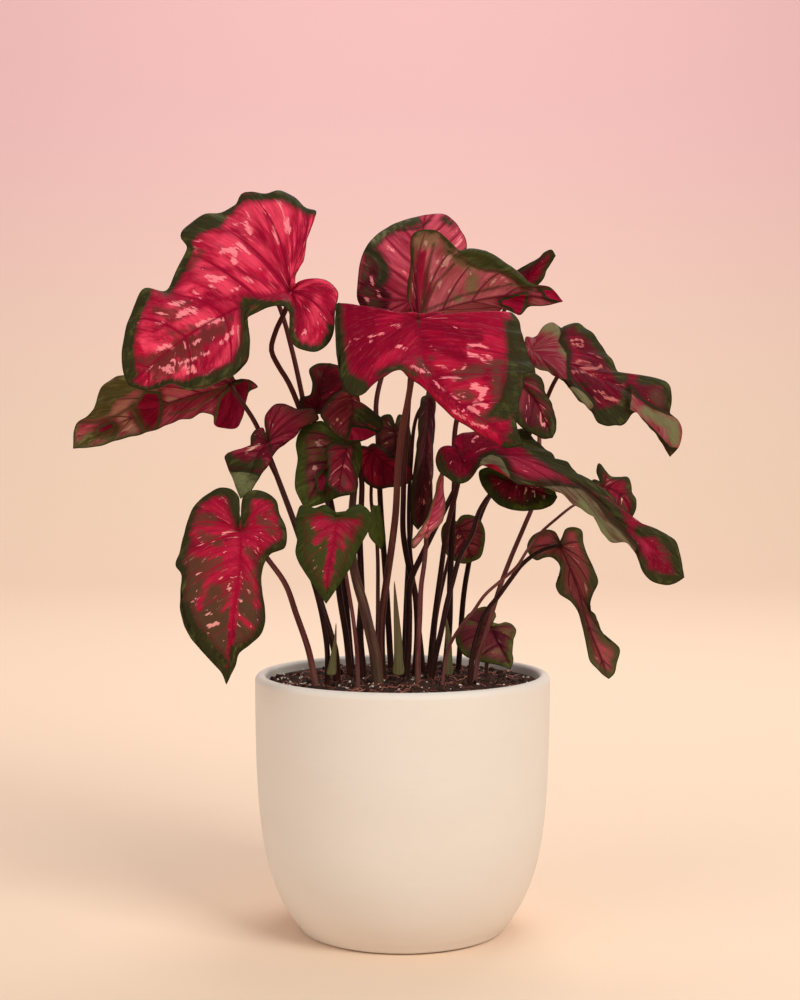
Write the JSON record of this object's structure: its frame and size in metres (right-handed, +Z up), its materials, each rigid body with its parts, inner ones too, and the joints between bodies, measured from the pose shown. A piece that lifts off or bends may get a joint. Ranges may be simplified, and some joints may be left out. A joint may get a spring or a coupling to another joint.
{
  "type": "potted caladium",
  "caption": "House plant with broad heart-shaped crimson and green leaves on tall thin stems, growing from dark soil in a plain round cream ceramic pot.",
  "frame": {"origin": "centre of the pot's flat underside", "axes": "+Z up; -Y is the side the picture was taken from, +X to that viewer's right"},
  "size_m": [0.3685, 0.2027, 0.451],
  "materials": {
    "ceramic": "matte",
    "soil": "matte",
    "crimson": "satin",
    "red": "satin",
    "pink": "satin",
    "olive": "satin",
    "green": "satin",
    "underside": "satin",
    "stem_dark": "satin",
    "stem_brown": "satin",
    "stem_pink": "satin",
    "stem_pale": "satin",
    "sheath": "satin"
  },
  "bodies": {
    "root": {"pot": "ceramic", "soil": "soil", "blade_big_left": "crimson", "blade_left_drooping": "underside", "blade_top_back": "crimson", "blade_top_folded": "underside", "blade_front_centre": "crimson", "blade_right_back": "red", "blade_right_twisted": "crimson", "blade_behind_centre": "crimson", "blade_long_arching": "crimson", "blade_dark_lobe": "olive", "blade_small_right": "olive", "blade_hanging_lance": "underside", "blade_low_right": "olive", "blade_round_back": "olive", "blade_pink_furled": "pink", "blade_edge_on": "red", "blade_heart_front": "green", "blade_heart_left": "olive", "blade_left_centre": "olive", "blade_spotted": "green", "blade_spotted_fold": "red", "blade_red_upright": "red", "blade_dark_centre": "green", "blade_round_centre": "green", "blade_red_centre": "red", "blade_small_green": "green", "blade_back_left": "crimson", "blade_back_centre": "crimson", "blade_back_right": "olive", "sheath_left": "sheath", "sheath_centre": "sheath", "sheath_right": "sheath", "stem_big_left": "stem_dark", "stem_left_drooping": "stem_dark", "stem_top_back": "stem_dark", "stem_top_folded": "stem_dark", "stem_front_centre": "stem_brown", "stem_right_back": "stem_dark", "stem_right_twisted": "stem_pink", "stem_behind_centre": "stem_dark", "stem_long_arching": "stem_dark", "stem_dark_lobe": "stem_dark", "stem_small_right": "stem_pink", "stem_hanging_lance": "stem_dark", "stem_low_right": "stem_pink", "stem_round_back": "stem_brown", "stem_pink_furled": "stem_pink", "stem_edge_on": "stem_dark", "stem_heart_front": "stem_pink", "stem_heart_left": "stem_pink", "stem_left_centre": "stem_dark", "stem_spotted": "stem_dark", "stem_dark_centre": "stem_pale", "stem_red_centre": "stem_brown", "stem_back_left": "stem_dark", "stem_back_centre": "stem_dark", "stem_back_right": "stem_dark"}
  },
  "joints": []
}
